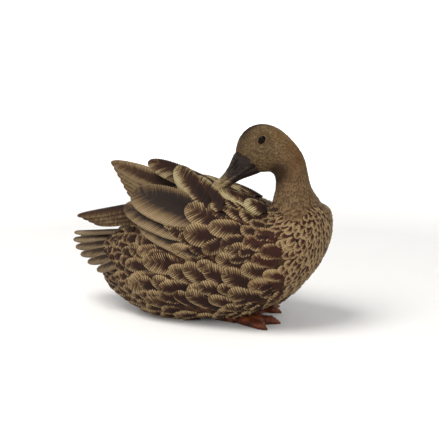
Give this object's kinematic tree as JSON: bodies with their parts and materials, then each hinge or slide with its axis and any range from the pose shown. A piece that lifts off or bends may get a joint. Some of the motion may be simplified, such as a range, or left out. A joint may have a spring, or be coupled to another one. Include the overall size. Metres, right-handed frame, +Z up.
{
  "type": "preening duck garden statue",
  "caption": "Life-size painted resin statue of a brown mallard hen, sitting with its head turned back and its bill in the feathers of its back.",
  "frame": {"origin": "middle of the statue's outline on the floor", "axes": "+X the way the breast faces, +Y the bird's left, +Z up"},
  "size_m": [0.3542, 0.1652, 0.2489],
  "materials": {
    "body_paint": "dry-brushed buff over dark brown paint on cast resin",
    "neck_paint": "greyish brown paint on cast resin",
    "head_paint": "olive-buff paint on cast resin",
    "bill_paint": "satin dark grey paint with an olive-yellow tip and rim",
    "eye_gloss": "gloss varnish over near-black brown",
    "wing_paint": "cream-edged brown feathers painted on cast resin",
    "quill_paint": "brown paint with pale dry-brushed ridges on cast resin",
    "foot_paint": "orange-red paint with a dark brown wash on cast resin"
  },
  "bodies": {
    "root": {"trunk": "body_paint", "neck": "neck_paint", "head": "head_paint", "bill_upper": "bill_paint", "bill_lower": "bill_paint", "eye_left": "eye_gloss", "eye_right": "eye_gloss", "wing_right": "wing_paint", "wing_left": "wing_paint", "scapulars_right": "wing_paint", "scapulars_left": "wing_paint", "primaries_right": "quill_paint", "primaries_left": "quill_paint", "tail": "quill_paint", "foot_right": "foot_paint", "foot_left": "foot_paint"}
  },
  "joints": []
}
